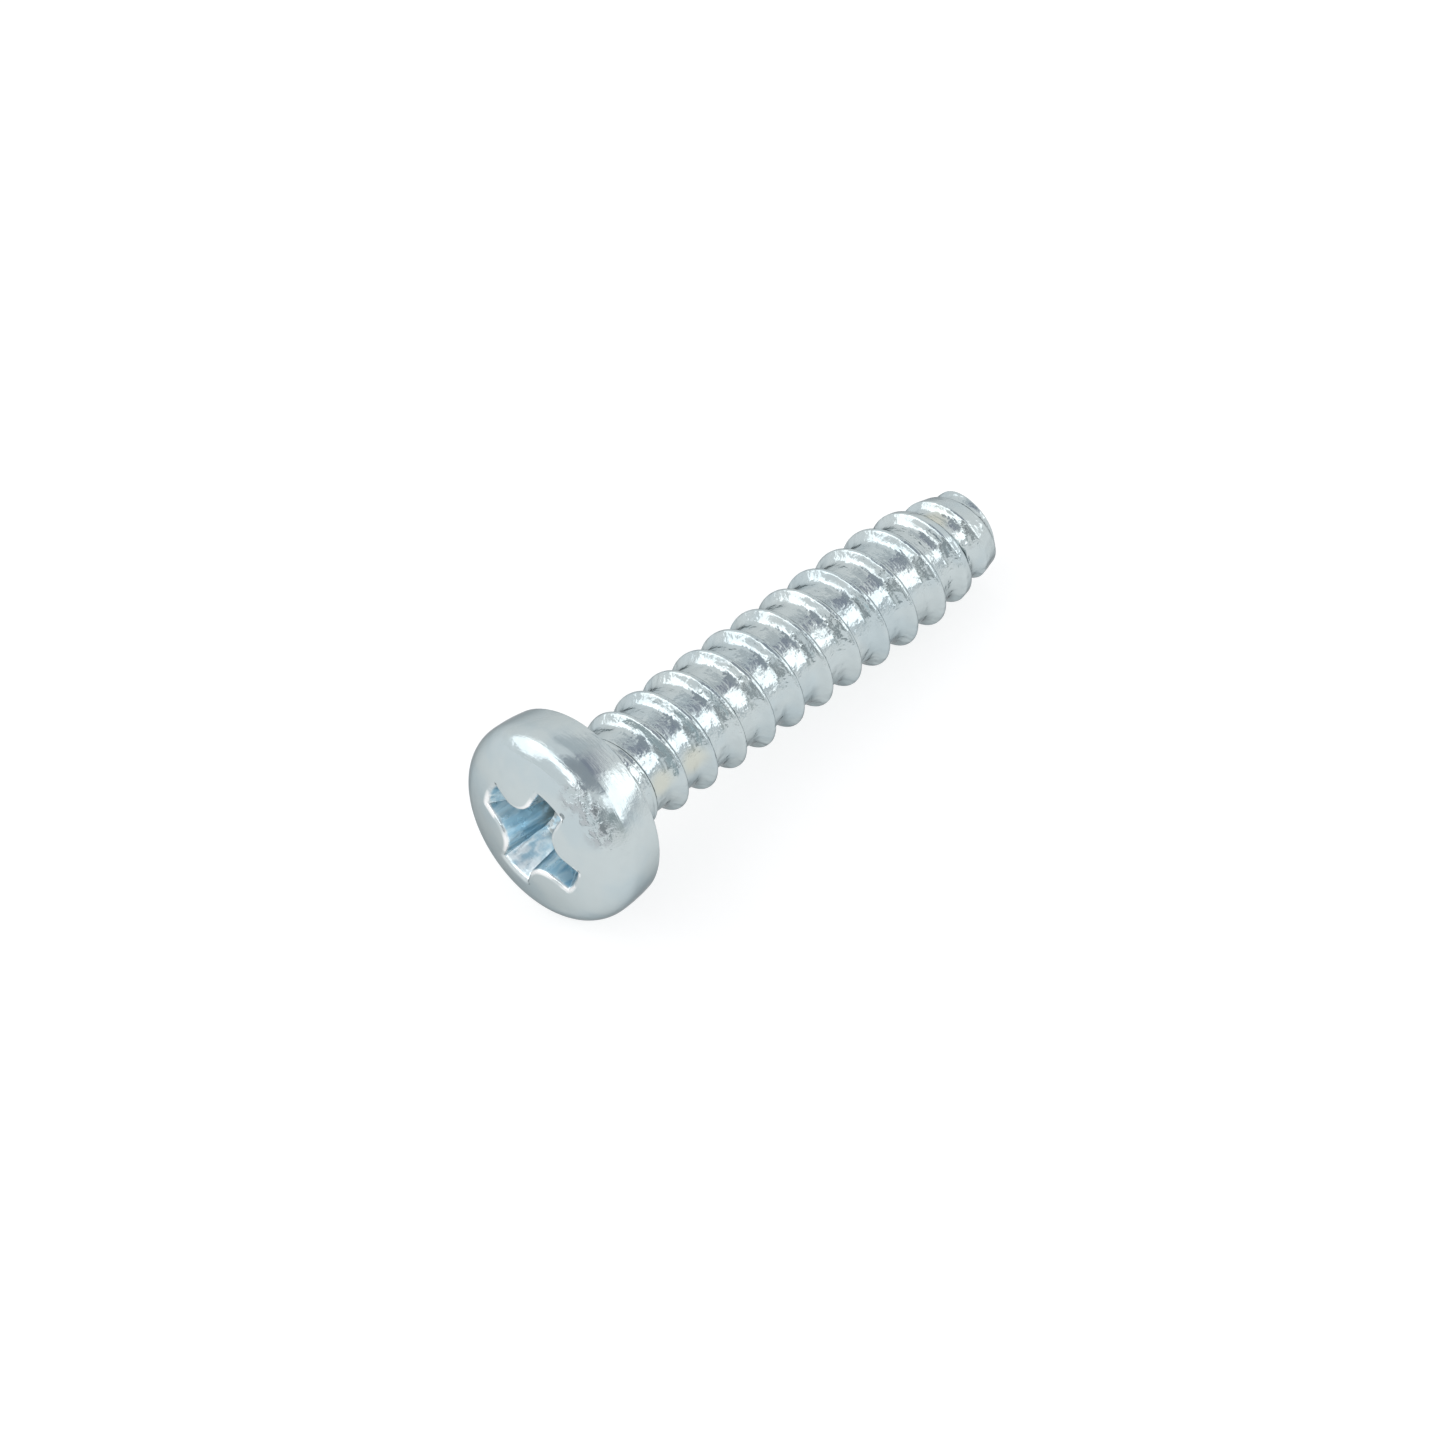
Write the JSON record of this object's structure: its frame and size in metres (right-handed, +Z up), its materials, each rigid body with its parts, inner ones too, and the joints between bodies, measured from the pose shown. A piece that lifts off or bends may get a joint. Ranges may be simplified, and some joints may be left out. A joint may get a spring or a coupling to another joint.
{
  "type": "sheet metal screw",
  "caption": "Pan-head sheet metal screw with a cross recess, a coarse right-hand thread and a blunt tapered tip, which forms its own thread in a pilot hole.",
  "frame": {"origin": "centre of the footprint on the surface it lies on", "axes": "+Z up, +X level towards the tip; the screw's own axis dips 5.6 degrees towards the tip"},
  "size_m": [0.0216, 0.0072, 0.0073],
  "materials": {
    "zinc_steel": "bright zinc plated steel, satin, slightly bluish"
  },
  "bodies": {
    "root": {"screw": "zinc_steel"}
  },
  "joints": []
}
